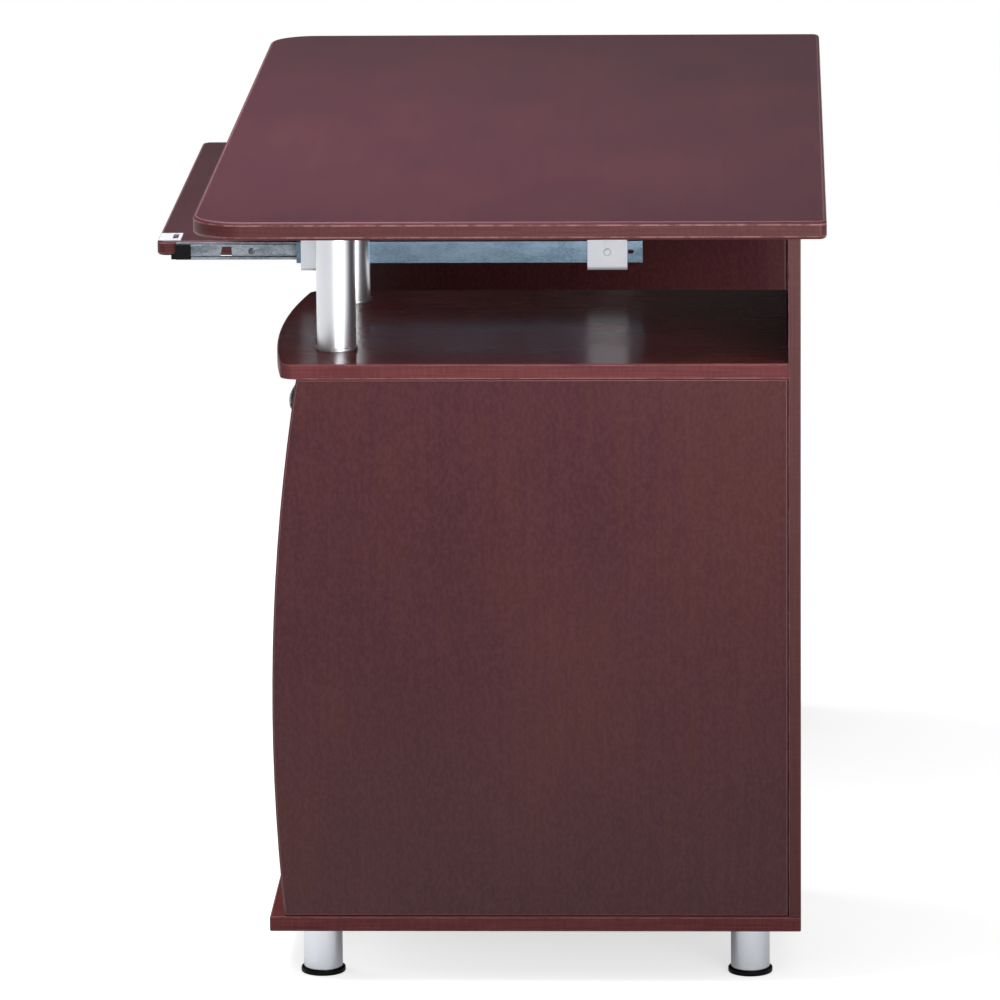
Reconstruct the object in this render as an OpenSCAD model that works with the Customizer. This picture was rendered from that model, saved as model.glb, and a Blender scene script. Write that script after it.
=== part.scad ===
// Computer desk with two pedestals, a keyboard tray on ball slides, three drawers and a door.
// X runs along the desk, to the right of a sitter. Y runs to the back. Z is up from the floor.
// The keyboard tray is drawn pulled out, the drawers and the door are drawn closed.

/* [Desktop] */
// Length of the desktop, left to right
desk_w = 1219; // [1180:1:1300]
// Height of the desktop's upper face above the floor
desk_h = 762; // [740:1:780]
// Depth of the desktop, front to back
top_d = 614; // [600:1:660]
// Thickness of the desktop
top_t = 18; // [16:1:25]
// Radius of the front corners in plan
top_corner_r = 50; // [20:1:80]
// Radius of the rounded-over upper and lower edges
top_edge_r = 4; // [2:0.5:6]
// Radius of the rear corners in plan
top_rear_r = 8; // [7:1:15]
// Overhang of the desktop past the pedestals, at each end
end_overhang = 15; // [5:1:40]
// Overhang of the desktop past the backs
rear_overhang = 25; // [5:0.5:40]

/* [Boards] */
// Thickness of the sides, shelves, bottoms and drawer fronts
board_t = 15; // [12:1:18]
// Thickness of the backs and of the rear rail
back_t = 12; // [10:1:15]
// Depth of the pedestals over everything
carcass_d = 523; // [510:1:540]
// Width of the right pedestal
right_w = 394; // [370:1:410]
// Width of the left pedestal
left_w = 212; // [200:1:240]
// How far the sides stand back from the ends of shelf and bottom
side_setback = 2; // [0:0.5:4]
// Clear height between the pedestal shelves and the desktop
open_h = 124; // [115:1:140]
// Height of the rear rail
rail_h = 140; // [100:1:180]

/* [Curved fronts] */
// Radius of the curved front edge of the sides
bulge_r = 2100; // [1800:10:4000]
// Height above the floor at which the curved edge stands furthest out
bulge_z = 262; // [200:1:330]
// How far that furthest point stands behind the bottom's front edge
bulge_back = 5.5; // [0:0.5:8]
// How far the shelves' foremost point stands behind the bottom's front edge
shelf_back = 7; // [0:0.5:12]
// Radius of the arched front of the shelves
arch_r = 1300; // [900:10:3000]
// How far the shelves' foremost point lies from their middle, towards the desk's end
arch_shift = 20; // [0:1:30]
// Radius of the shelves' front corners
arch_corner_r = 15; // [8:1:25]

/* [Feet and posts] */
// Height of a foot
foot_h = 51; // [45:1:60]
// Diameter of a foot's tube
foot_d = 38.5; // [30:0.5:45]
// Diameter of a foot's pad
pad_d = 44; // [43:1:57]
// Height of a foot's pad
pad_t = 5.5; // [4:0.5:8]
// Distance of the foot's axis from the pedestal's end
foot_in_x = 40; // [30:1:50]
// Distance of the foot's axis from the pedestal's front and rear
foot_in_y = 50; // [40:1:70]
// Diameter of a front post
post_d = 38.5; // [30:0.5:45]
// Distance of the posts' axes behind the bottom's front edge
post_in_y = 69; // [50:1:75]
// Distance of the outer post's axis from the pedestal's outer end
post_in_x = 82.5; // [60:0.5:85]
// Wall of the foot and post tubes
tube_wall = 1.5; // [1:0.1:2.5]
// Diameter of a post's collars
collar_d = 42; // [41:0.5:46]
// Height of a post's collars
collar_t = 3; // [2:0.5:5]
// Diameter of the threaded rod in a post
rod_d = 8; // [6:1:10]
// Clearance between the inner posts and the tray brackets
post_gap = 3; // [1:0.5:6]

/* [Keyboard tray] */
// How far the tray reaches over each pedestal
tray_lap = 19.5; // [15:0.5:25]
// Depth of the tray
tray_d = 390; // [385:1:400]
// Thickness of the tray
tray_t = 15; // [12:1:18]
// Clear height between the tray and the desktop
tray_drop = 69; // [66:1:74]
// Radius of the tray's corners in plan
tray_corner_r = 10; // [7:1:25]
// Radius of the tray's rounded edges
tray_edge_r = 3; // [2:0.5:4]
// How far the tray is pulled out of its closed position as drawn
tray_out = 123; // [110:1:124]
// How much further the tray can be pulled out
tray_more = 148; // [120:1:150]
// Distance of the runners' front ends behind the desktop's front edge
runner_back = 78; // [70:1:90]
// Distance of the rails' front ends behind the tray's front edge
rail_back = 20; // [18:1:25]
// Distance of the front screws and the rear screws from the ends of the tray's rails
tray_screw_front_in = 77; // [70:1:90]
tray_screw_rear_in = 40; // [30:1:60]
// Distance of the rails' stop holes behind their front ends
stop_hole_in = 51; // [35:1:58]
// Length of the tray's runners
tray_runner_len = 352; // [346:1:358]
// Thickness of the tray's slides, from tray to bracket
tray_slide_t = 11; // [10.5:0.1:12]
// Height of the tray's runners
tray_slide_h = 22; // [21:0.1:25]
// How far the slides' centre lies below the tray's middle
tray_slide_low = 2.7; // [0:0.1:4]
// Width of a tray bracket, along the runner
bracket_w = 40.6; // [35:0.1:50]
// Height of a tray bracket
bracket_h = 98; // [95:1:103]
// Thickness of a tray bracket
bracket_t = 2; // [1.5:0.1:2]
// Width of the bracket's flange under the desktop
bracket_flange = 28; // [22:1:32]
// Width of the bracket's lower lip
bracket_lip = 9; // [6:0.5:10]
// Distance of the front bracket from the runner's front end
bracket_in = 4.7; // [4:0.1:10]
// Distance of the rear bracket from the runner's rear end
rear_bracket_in = 15.5; // [14:0.1:20]
// Length of the corner tab along the tray's front
tab_l = 36; // [30:1:50]
// Depth of the corner tab
tab_d = 22.5; // [18:0.5:26]
// Thickness of the corner tab
tab_t = 1.5; // [1:0.1:2]

/* [Ball slides] */
// Thickness of the slides' sheet steel
steel_t = 1.2; // [1:0.1:1.3]
// Diameter of the balls
ball_d = 2.6; // [2.4:0.1:2.8]
// Running clearance of the slides
slide_gap = 0.3; // [0.2:0.05:0.35]
// Length of the tray's ball cages
tray_cage_len = 90; // [60:1:92]
// Length of the drawers' ball cages
drawer_cage_len = 96; // [60:1:98]

/* [Drawers] */
// Height of the fronts of the top and middle drawer
small_front_h = 102; // [90:1:115]
// Gap round the drawer fronts and the door
front_gap = 3; // [2:0.5:4]
// How far the fronts lie behind the sides' upper front corner
front_back = 3; // [1:0.5:8]
// Thickness of the drawer boxes' sides and backs
box_t = 12; // [10:1:14]
// Thickness of the drawer boxes' bottom panels
box_bottom_t = 3; // [3:0.5:5]
// Depth of the drawer boxes and length of their runners
box_d = 400; // [380:1:420]
// Height of the small drawer boxes
small_box_h = 75; // [60:1:80]
// Height of the file drawer's box
file_box_h = 245; // [240:1:270]
// Thickness of the drawers' slides
drawer_slide_t = 12.7; // [12:0.1:14]
// Height of the drawers' runners
drawer_slide_h = 35; // [30:0.5:45]
// How far the drawers pull out
drawer_travel = 300; // [280:1:300]
// Distance between the bars for hanging files
file_pitch = 325; // [320:1:330]
// Height of a bar for hanging files
file_bar_h = 14; // [10:1:18]

/* [Handles] */
// Distance between a handle's legs
handle_pitch = 128; // [96:1:140]
// How far a handle stands out from its front
handle_out = 22; // [20:0.5:30]
// Diameter of a handle's bar
handle_d = 9; // [7:0.5:10]
// Bend radius where the bar turns into a leg, on its centre line
handle_bend = 9; // [7:0.5:10]
// Radius of the bar's arch
handle_arc_r = 450; // [350:10:900]

/* [Door] */
// Gap between the door and the sides
door_gap = 2; // [2:0.5:3]
// Distance of the pivots from the door's hinged edge
pivot_in = 9; // [8:0.5:10]
// Distance of the pivots behind the door's outer face
pivot_back = 5.5; // [5.5:0.5:7]
// Diameter of the pivot pins
pivot_d = 4; // [3:0.5:4]
// Distance of the door handle's bar from the door's free edge
door_handle_in = 30; // [25:1:45]
// Distance of the door handle's middle below the door's upper edge
door_handle_low = 125; // [90:5:200]
// Distance of the magnetic catch from the door's free edge
catch_in = 20; // [15:1:40]

/* [Fasteners] */
// Diameter of a cam
cam_d = 15; // [12:1:16]
// Distance of a cam's centre from the end of its side
cam_in = 24; // [20:1:34]
// Distance of the front cams behind the bottom's front edge
cam_front_in = 110; // [90:1:140]
// Distance of the rear cams in front of the backs
cam_rear_in = 90; // [70:1:120]
// Diameter of the dowels in the sides
dowel_d = 8; // [6:1:8]
// Diameter of the dowels in the backs
small_dowel_d = 6; // [5:0.5:6]
// Distance between a cam and the dowel beside it
dowel_pitch = 32; // [25:1:40]
// Distance of the backs' upper and lower screws from the ends of the sides
back_screw_in = 60; // [40:1:90]
// Diameter of the screws' shafts
screw_d = 3.5; // [3:0.5:4]

/* [Hidden] */
$fn = 48;

// Slack that lets a cut pass right through what it cuts
over = 1;
// Clearance of dowels, rods and screws in their holes
fit = 0.05;
// Clearance round pieces that are let in or slide
loose = 0.3;

// Height levels
top_z = desk_h - top_t;
shelf_top = top_z - open_h;
shelf_z = shelf_top - board_t;
bottom_top = foot_h + board_t;

// Front to back, with the whole desk and its pulled-out tray centred on Y = 0
tray_reach = tray_out + rail_back - runner_back;
y_rear = (top_d + tray_reach) / 2;
y_front = y_rear - top_d;
back_y = y_rear - rear_overhang;
inner_back_y = back_y - back_t;
carcass_y = back_y - carcass_d;
apex_y = carcass_y + bulge_back;
post_y = carcass_y + post_in_y;
shelf_y = carcass_y + shelf_back;

// Along the desk
right_x1 = desk_w / 2 - end_overhang;
right_x0 = right_x1 - right_w;
left_x0 = -right_x1;
left_x1 = left_x0 + left_w;

// Front edge of the sides at a given height
function side_front(z) = apex_y + bulge_r - sqrt(pow(bulge_r, 2) - pow(z - bulge_z, 2));
front_y = side_front(shelf_z) + front_back;
front_in = front_y + board_t;

// Colours
wood = [0.36, 0.22, 0.23];
edge_wood = [0.42, 0.25, 0.25];
board_grey = [0.78, 0.76, 0.72];
zinc = [0.66, 0.70, 0.74];
silver = [0.80, 0.81, 0.83];
black = [0.08, 0.08, 0.09];
birch = [0.75, 0.62, 0.42];

// Extrudes a profile drawn in (X, Z) from y0 to y1
module along_y(y0, y1) {
    translate([0, y1, 0]) rotate([90, 0, 0]) linear_extrude(y1 - y0) children();
}

// Extrudes a profile drawn in (Y, Z) from x0 to x1
module along_x(x0, x1) {
    translate([x0, 0, 0]) rotate([90, 0, 90]) linear_extrude(x1 - x0) children();
}

// A bar of diameter d along X, Y or Z that starts at the origin
module rod_x(d, l) { rotate([0, 90, 0]) cylinder(d = d, h = l); }
module rod_y(d, l) { rotate([-90, 0, 0]) cylinder(d = d, h = l); }
module rod_z(d, l) { cylinder(d = d, h = l); }

// A copy on each of two sides of X = x
module mirrored_at(x) {
    children();
    translate([2 * x, 0, 0]) mirror([1, 0, 0]) children();
}

// Cuts the square lower corner of a profile down to a quarter circle of radius e
module corner_cut(e) {
    difference() {
        translate([0, -over]) square([e + over, e + over]);
        translate([0, e]) circle(e);
    }
}

// Outer strip of a board of thickness t whose edges are rounded over at radius e
module edge_profile(e, t) {
    difference() {
        square([e, t]);
        corner_cut(e);
        translate([0, t]) mirror([0, 1]) corner_cut(e);
    }
}

module edge_run(l, e, t) { rotate([90, 0, 90]) linear_extrude(l) edge_profile(e, t); }

module edge_corner(r, e, t) {
    rotate_extrude(angle = 90) translate([r - e, 0]) edge_profile(e, t);
}

// What a corner of radius r loses, for the corner at the origin of a shape in the first quadrant
module plan_corner(r) {
    difference() {
        translate([-over, -over]) square(r + over);
        translate([r, r]) circle(r);
    }
}

// Rectangle with corner radii rf in front and rr at the rear
module plan_outline(w, d, rf, rr) {
    difference() {
        square([w, d]);
        plan_corner(rf);
        translate([w, 0]) mirror([1, 0]) plan_corner(rf);
        translate([0, d]) mirror([0, 1]) plan_corner(rr);
        translate([w, d]) rotate(180) plan_corner(rr);
    }
}

// Board with rounded-over edges of radius e and plan corners rf in front and rr at the rear
module eased_board(w, d, t, rf, rr, e) {
    translate([e, e, 0]) linear_extrude(t) plan_outline(w - 2 * e, d - 2 * e, rf - e, rr - e);
    translate([rf, e, 0]) mirror([0, 1, 0]) edge_run(w - 2 * rf, e, t);
    translate([rr, d - e, 0]) edge_run(w - 2 * rr, e, t);
    for (side = [0, 1]) translate([side * w, 0, 0]) mirror([side, 0, 0]) {
        translate([e, rf, 0]) rotate([0, 0, 90]) edge_run(d - rf - rr, e, t);
        translate([rf, rf, 0]) rotate([0, 0, 180]) edge_corner(rf, e, t);
        translate([rr, d - rr, 0]) rotate([0, 0, 90]) edge_corner(rr, e, t);
    }
}

// Inner faces of the sides
right_in0 = right_x0 + side_setback + board_t;
right_in1 = right_x1 - side_setback - board_t;
left_in0 = left_x0 + side_setback + board_t;
left_in1 = left_x1 - side_setback - board_t;
// Sides of the pedestals: [X of the inner face, direction from there to the outer face]
RIGHT_SIDES = [[right_in0, -1], [right_in1, 1]];
LEFT_SIDES = [[left_in0, -1], [left_in1, 1]];
ALL_SIDES = concat(RIGHT_SIDES, LEFT_SIDES);
function side_mid(s) = s[0] + s[1] * board_t / 2;

// Fasteners: cams and dowels along the sides, dowels in the backs, screws of the backs
cam_ys = [carcass_y + cam_front_in, inner_back_y - cam_rear_in];
cam_h = board_t - 3;
bolt_d = 6;
bolt_tip_d = 5;
bolt_tip_l = 10;
dowel_in_plate = 9;
dowel_in_side = 17;
small_dowel_in_board = 8;
small_dowel_in_back = 14;
small_dowel_x = 60;
screw_head_d = 7;
screw_head_h = 2;
back_screw_l = 30;
back_screw_zs = [bottom_top + back_screw_in, (bottom_top + shelf_z) / 2, shelf_z - back_screw_in];

// Turns what points up into what points down
module flipped(down) { mirror([0, 0, down ? 1 : 0]) children(); }

// Turns what points to +X into what points to -X
module turned(left) { mirror([left ? 1 : 0, 0, 0]) children(); }

// Runs its children at each cam of a side: at the side's end, pointing into the side
module at_cams(s) {
    for (top = [false, true], y = cam_ys)
        translate([side_mid(s), y, top ? shelf_z : bottom_top]) flipped(top) children();
}

module side_panel(s) {
    x0 = min(s[0], s[0] + s[1] * board_t);
    difference() {
        along_x(x0, x0 + board_t) intersection() {
            translate([apex_y - over, bottom_top])
                square([inner_back_y - apex_y + over, shelf_z - bottom_top]);
            translate([apex_y + bulge_r, bulge_z]) circle(bulge_r);
        }
        at_cams(s) {
            translate([0, 0, -over]) rod_z(bolt_d + 1, cam_in + over);
            translate([0, dowel_pitch, -over]) rod_z(dowel_d + 2 * fit, dowel_in_side + over + loose);
            translate([0, 0, cam_in]) turned(s[1] < 0)
                translate([-board_t / 2 - over, 0, 0]) rod_x(cam_d, cam_h + over + fit);
        }
        for (z = back_screw_zs) translate([side_mid(s), inner_back_y + over, z]) mirror([0, 1, 0])
            rod_y(screw_d + 2 * fit, back_screw_l - back_t + over + loose);
    }
}

module right_outer_side() { color(wood) side_panel(RIGHT_SIDES[1]); }
module right_inner_side() { color(wood) side_panel(RIGHT_SIDES[0]); }
module left_outer_side() { color(wood) side_panel(LEFT_SIDES[0]); }
module left_inner_side() { color(wood) side_panel(LEFT_SIDES[1]); }

// Holes for the bolts and dowels of the sides in a shelf or bottom, whose face lies at z
module plate_holes(sides, z, down) {
    for (s = sides, y = cam_ys) translate([side_mid(s), y, z]) flipped(down) {
        translate([0, 0, -over]) rod_z(bolt_tip_d + 2 * fit, bolt_tip_l + over + loose);
        translate([0, dowel_pitch, -over]) rod_z(dowel_d + 2 * fit, dowel_in_plate + over + loose);
    }
}

// Corner that the arched front of a shelf loses to its corner radius, at the end that lies to the left
// of the arch's foremost point by the given reach. The circle crosses both edges a little, so that no
// sliver is left where they would only touch.
module arch_corner(to_end) {
    r = arch_corner_r;
    crossing = 0.3;
    reach = arch_r - r;
    c = [r, arch_r - sqrt(pow(reach, 2) - pow(to_end - r, 2))];
    to_arc = [r - to_end, c[1] - arch_r] / reach;
    difference() {
        polygon([c, c + [-2 * r, 0], c + [-2 * r, -2 * r], c + 2 * r * to_arc]);
        translate(c) circle(r + crossing);
    }
}

// Shelf of width w from the back to its arched front, which is foremost at a given distance from the
// left end
module shelf_outline(w, foremost) {
    difference() {
        intersection() {
            translate([0, -over]) square([w, inner_back_y - shelf_y + over]);
            translate([foremost, arch_r]) circle(arch_r);
        }
        arch_corner(foremost);
        translate([w, 0]) mirror([1, 0]) arch_corner(w - foremost);
    }
}

// Front posts: [X of the axis] for each pedestal
post_r = post_d / 2;
inner_post_in = tray_lap + tray_slide_t + bracket_t + post_gap + post_r;
post_xs = [left_x0 + post_in_x, left_x1 - inner_post_in, right_x0 + inner_post_in, right_x1 - post_in_x];
rod_into = 11;

module shelf_board(x0, x1, sides, shift) {
    difference() {
        translate([x0, shelf_y, shelf_z]) linear_extrude(board_t)
            shelf_outline(x1 - x0, (x1 - x0) / 2 + shift);
        plate_holes(sides, shelf_z, false);
        for (x = post_xs) if (x > x0 && x < x1) translate([x, post_y, shelf_top + over]) flipped(true)
            rod_z(rod_d + 2 * fit, rod_into + over + loose);
    }
}

module right_shelf() { color(wood) shelf_board(right_x0, right_x1, RIGHT_SIDES, arch_shift); }

module left_shelf() {
    color(wood) difference() {
        shelf_board(left_x0, left_x1, LEFT_SIDES, -arch_shift);
        translate([pivot_x, pivot_y, shelf_z - over]) rod_z(bush_d + 2 * fit, bush_l + over + fit);
    }
}

// Bottom under the sides and the back
module bottom_board(x0, x1, sides) {
    difference() {
        translate([x0, carcass_y, foot_h]) cube([x1 - x0, carcass_d, board_t]);
        plate_holes(sides, bottom_top, true);
        for (x = [x0 + small_dowel_x, x1 - small_dowel_x])
            translate([x, back_mid, bottom_top + over]) flipped(true)
                rod_z(small_dowel_d + 2 * fit, small_dowel_in_board + over + loose);
    }
}

module right_bottom() { color(wood) bottom_board(right_x0, right_x1, RIGHT_SIDES); }

module left_bottom() {
    color(wood) difference() {
        bottom_board(left_x0, left_x1, LEFT_SIDES);
        translate([pivot_x, pivot_y, bottom_top + over]) flipped(true)
            rod_z(bush_d + 2 * fit, bush_l + over + fit);
    }
}

// Backs, from the bottom up to the desktop
back_mid = back_y - back_t / 2;

module back_dowel_hole() { rod_z(small_dowel_d + 2 * fit, small_dowel_in_back + over + loose); }

module back_board(x0, x1, sides) {
    difference() {
        translate([x0, inner_back_y, bottom_top]) cube([x1 - x0, back_t, top_z - bottom_top]);
        for (x = [x0 + small_dowel_x, x1 - small_dowel_x]) {
            translate([x, back_mid, bottom_top - over]) back_dowel_hole();
            translate([x, back_mid, top_z + over]) flipped(true) back_dowel_hole();
        }
        for (s = sides, z = back_screw_zs) translate([side_mid(s), back_y, z]) mirror([0, 1, 0]) {
            translate([0, -over, 0]) rod_y(screw_d + 2 * fit, back_t + 2 * over);
            countersink(fit);
        }
    }
}

// Cone of a countersunk head whose face lies in Y = 0, reaching to +Y
module countersink(extra) {
    rotate([-90, 0, 0]) cylinder(d1 = screw_head_d + 2 * extra, d2 = screw_d + 2 * extra, h = screw_head_h);
}

module right_back() { color(wood) back_board(right_x0, right_x1, RIGHT_SIDES); }
module left_back() { color(wood) back_board(left_x0, left_x1, LEFT_SIDES); }

// Rail between the backs, under the desktop
rail_dowel_xs = [left_x1 + small_dowel_x, right_x0 - small_dowel_x];

module rear_rail() {
    color(wood) difference() {
        translate([left_x1, inner_back_y, top_z - rail_h]) cube([right_x0 - left_x1, back_t, rail_h]);
        for (x = rail_dowel_xs) translate([x, back_mid, top_z + over]) flipped(true) back_dowel_hole();
    }
}

// Dowels between the backs, the rail, the desktop and the bottoms
back_dowel_xs = [left_x0 + small_dowel_x, left_x1 - small_dowel_x,
                 right_x0 + small_dowel_x, right_x1 - small_dowel_x];
top_dowel_xs = concat(back_dowel_xs, rail_dowel_xs);

module small_dowel() {
    translate([0, 0, -small_dowel_in_back])
        rod_z(small_dowel_d, small_dowel_in_back + small_dowel_in_board);
}

module dowels() {
    color(birch) {
        for (s = ALL_SIDES) at_cams(s) translate([0, dowel_pitch, -dowel_in_plate])
            rod_z(dowel_d, dowel_in_plate + dowel_in_side);
        for (x = top_dowel_xs) translate([x, back_mid, top_z]) small_dowel();
        for (x = back_dowel_xs) translate([x, back_mid, bottom_top]) flipped(true) small_dowel();
    }
}

// Cam with its bore for the bolt and its driver slot
module cam() {
    slot_w = 2;
    slot_h = 2;
    difference() {
        rod_x(cam_d - 2 * fit, cam_h);
        translate([board_t / 2, 0, 0]) flipped(true) rod_z(bolt_d + 0.6, cam_d);
        translate([-over, -slot_w / 2, -cam_d / 3]) cube([slot_h + over, slot_w, cam_d * 2 / 3]);
    }
}

module cam_fasteners() {
    color(zinc) for (s = ALL_SIDES) at_cams(s) {
        translate([0, 0, cam_in]) turned(s[1] < 0) translate([-board_t / 2, 0, 0]) cam();
        rod_z(bolt_d, cam_in);
        translate([0, 0, -bolt_tip_l]) rod_z(bolt_tip_d, bolt_tip_l);
    }
}

module back_screws() {
    color(zinc) for (s = ALL_SIDES, z = back_screw_zs)
        translate([side_mid(s), back_y, z]) mirror([0, 1, 0]) {
            countersink(0);
            rod_y(screw_d, back_screw_l);
        }
}

// Desktop with the blind holes in its underside
flange_screw_in = 12;
flange_screw_pitch = 26;

module desktop() {
    color(wood) difference() {
        translate([-desk_w / 2, y_front, top_z])
            eased_board(desk_w, top_d, top_t, top_corner_r, top_rear_r, top_edge_r);
        for (x = post_xs) translate([x, post_y, top_z - over])
            rod_z(rod_d + 2 * fit, rod_into + over + loose);
        for (x = top_dowel_xs) translate([x, back_mid, top_z - over])
            rod_z(small_dowel_d + 2 * fit, small_dowel_in_board + over + loose);
        on_flanges() translate([0, 0, -over]) rod_z(screw_d + 2 * fit, flange_screw_in + over + loose);
    }
}

// Posts, collars and rods
module at_posts() { for (x = post_xs) translate([x, post_y, 0]) children(); }

module tube(d, l) {
    difference() {
        rod_z(d, l);
        translate([0, 0, -over]) rod_z(d - 2 * tube_wall, l + 2 * over);
    }
}

module collar() {
    spigot_h = 8;
    difference() {
        union() {
            translate([0, 0, -collar_t]) rod_z(collar_d, collar_t);
            rod_z(post_d - 2 * tube_wall - 2 * loose, spigot_h);
        }
        translate([0, 0, -collar_t - over]) rod_z(rod_d + 2 * loose, collar_t + spigot_h + 2 * over);
    }
}

module front_posts() {
    color(silver) at_posts() translate([0, 0, shelf_top + collar_t]) tube(post_d, open_h - 2 * collar_t);
}

module post_collars() {
    color(silver) at_posts() {
        translate([0, 0, shelf_top + collar_t]) collar();
        translate([0, 0, top_z - collar_t]) flipped(true) collar();
    }
}

module post_rods() {
    color(zinc) at_posts() translate([0, 0, shelf_top - rod_into]) rod_z(rod_d, open_h + 2 * rod_into);
}

// Feet
foot_plate = 2;
foot_xs = [left_x0 + foot_in_x, left_x1 - foot_in_x, right_x0 + foot_in_x, right_x1 - foot_in_x];
foot_ys = [carcass_y + foot_in_y, back_y - foot_in_y];

module at_feet() { for (x = foot_xs, y = foot_ys) translate([x, y, 0]) children(); }

module foot_tubes() {
    color(silver) at_feet() difference() {
        translate([0, 0, pad_t]) rod_z(foot_d, foot_h - pad_t);
        translate([0, 0, pad_t - over]) rod_z(foot_d - 2 * tube_wall, foot_h - pad_t - foot_plate + over);
    }
}

module foot_pads() {
    rim = pad_t / 4;
    plug_h = 10;
    color(black) at_feet() rotate_extrude() {
        square([pad_d / 2 - rim, pad_t]);
        translate([pad_d / 2 - rim, 0]) edge_profile(rim, pad_t);
        translate([0, pad_t]) square([foot_d / 2 - tube_wall - loose, plug_h]);
    }
}

// Keyboard tray, pulled out
tray_x0 = left_x1 - tray_lap;
tray_x1 = right_x0 + tray_lap;
tray_cx = (tray_x0 + tray_x1) / 2;
tray_z1 = top_z - tray_drop;
tray_z0 = tray_z1 - tray_t;
tray_y0 = y_front - tray_reach;
tray_rail_y = tray_y0 + rail_back;
tray_runner_y = y_front + runner_back;
slide_z = (tray_z0 + tray_z1) / 2 - tray_slide_low;
rail_short = 3;
tray_rail_len = tray_runner_len - rail_short;
tray_screw_ys = [tray_rail_y + tray_screw_front_in, tray_rail_y + tray_rail_len / 2,
                 tray_rail_y + tray_rail_len - tray_screw_rear_in];
tray_screw_l = 16;

// Slide profile, drawn at the right of what it carries: X from the carried face, Z from its centre
hook_x = steel_t + slide_gap;
sheet = 1;
ball_x = hook_x + sheet + slide_gap + ball_d / 2;
lip_x = ball_x + ball_d / 2 + slide_gap;
cage_sheet = 0.5;
cage_x = lip_x + sheet + slide_gap;
function ball_z(h) = h / 2 - steel_t - slide_gap - ball_d / 2;

module both_ways() {
    children();
    mirror([0, 1]) children();
}

// Outer member: a web at the far side, flanges and hooks round the balls
module runner_profile(t, h) {
    translate([t - steel_t, -h / 2]) square([steel_t, h]);
    both_ways() {
        translate([hook_x, h / 2 - steel_t]) square([t - hook_x, steel_t]);
        translate([hook_x, ball_z(h)]) square([sheet, h / 2 - ball_z(h)]);
    }
}

// Inner member's web, a little higher than the middle of the balls
module rail_web_profile(h) {
    web = ball_z(h) + 0.8;
    translate([0, -web]) square([steel_t, 2 * web]);
}

// Inner member's two troughs for the balls
module rail_trough_profile(h) {
    floor_z = ball_z(h) - ball_d / 2 - slide_gap - steel_t;
    both_ways() {
        translate([steel_t, floor_z]) square([lip_x + sheet - steel_t, steel_t]);
        translate([lip_x, floor_z]) square([sheet, ball_z(h) - cage_sheet / 2 - slide_gap - floor_z]);
    }
}

module runner(y, l, t, h) {
    stop_t = 1.2;
    along_y(y, y + l) runner_profile(t, h);
    along_y(y + l - stop_t, y + l) translate([cage_x, -h / 2 + steel_t])
        square([t - cage_x, h - 2 * steel_t]);
}

// Inner member, with its troughs starting trough_in behind its front end
module rail(y, l, h, trough_in) {
    along_y(y, y + l) rail_web_profile(h);
    along_y(y + trough_in, y + l) rail_trough_profile(h);
}

// Ball cage from y on, with rows of balls above and below
module ball_cage(y, l, h, balls) {
    z = ball_z(h);
    pitch = l / balls;
    difference() {
        along_y(y, y + l) {
            translate([cage_x, -z - cage_sheet / 2]) square([cage_sheet, 2 * z + cage_sheet]);
            both_ways() translate([ball_x - ball_d / 2, z - cage_sheet / 2])
                square([cage_x + cage_sheet - ball_x + ball_d / 2, cage_sheet]);
        }
        for (i = [0 : balls - 1], s = [-1, 1])
            translate([ball_x, y + (i + 0.5) * pitch, s * z - cage_sheet])
                rod_z(ball_d + 2 * fit, 2 * cage_sheet);
    }
    for (i = [0 : balls - 1], s = [-1, 1])
        translate([ball_x, y + (i + 0.5) * pitch, s * z]) sphere(d = ball_d);
}

// Runs its children at the right slide and mirrored at the left one, about X = cx
module slide_pair(cx, x, z) {
    translate([x, 0, z]) children();
    translate([2 * cx - x, 0, z]) mirror([1, 0, 0]) children();
}

module tray_slides() { slide_pair(tray_cx, tray_x1, slide_z) children(); }

// Tray runners with the slotted hole near the rear end and the holes of the bracket screws
slot_hole_in = 12;
bracket_ys = [tray_runner_y + bracket_in, tray_runner_y + tray_runner_len - rear_bracket_in - bracket_w];
slot_hole_y = tray_runner_y + tray_runner_len - slot_hole_in;
web_screw_l = bracket_t + steel_t + 1;

module tray_runners() {
    slot_hole_d = 4;
    slot_hole_l = 6;
    color(zinc) tray_slides() difference() {
        runner(tray_runner_y, tray_runner_len, tray_slide_t, tray_slide_h);
        for (y = bracket_ys) translate([tray_slide_t - 2 * steel_t, y + bracket_w / 2, 0])
            rod_x(screw_d + 2 * fit, 3 * steel_t);
        for (s = [-1, 1]) translate([0, s * (slot_hole_l - slot_hole_d) / 2, 0])
            translate([tray_slide_t - 2 * steel_t, slot_hole_y, 0]) rod_x(slot_hole_d, 3 * steel_t);
    }
}

// Tray brackets: a flange under the desktop, a web beside the runner and a lip bent in below it
module bracket_profile() {
    bend_r = 4;
    web_x = tray_slide_t + bracket_t;
    top = top_z - slide_z;
    low = top - bracket_h;
    difference() {
        union() {
            translate([tray_slide_t, low]) square([bracket_t, bracket_h]);
            translate([web_x - bracket_flange, top - bracket_t]) square([bracket_flange, bracket_t]);
            translate([web_x - bracket_lip, low]) square([bracket_lip, bracket_t]);
            translate([web_x - bend_r, low]) square(bend_r);
        }
        translate([web_x, low]) rotate(90) plan_corner(bend_r);
        translate([web_x - bend_r, low + bend_r]) circle(bend_r - bracket_t);
        translate([web_x - bracket_lip - over, low + bracket_t])
            square([bracket_lip - bend_r + over, bend_r]);
        translate([web_x - bend_r - over, low + bend_r]) square([bend_r - bracket_t + over, bend_r]);
    }
}

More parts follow.
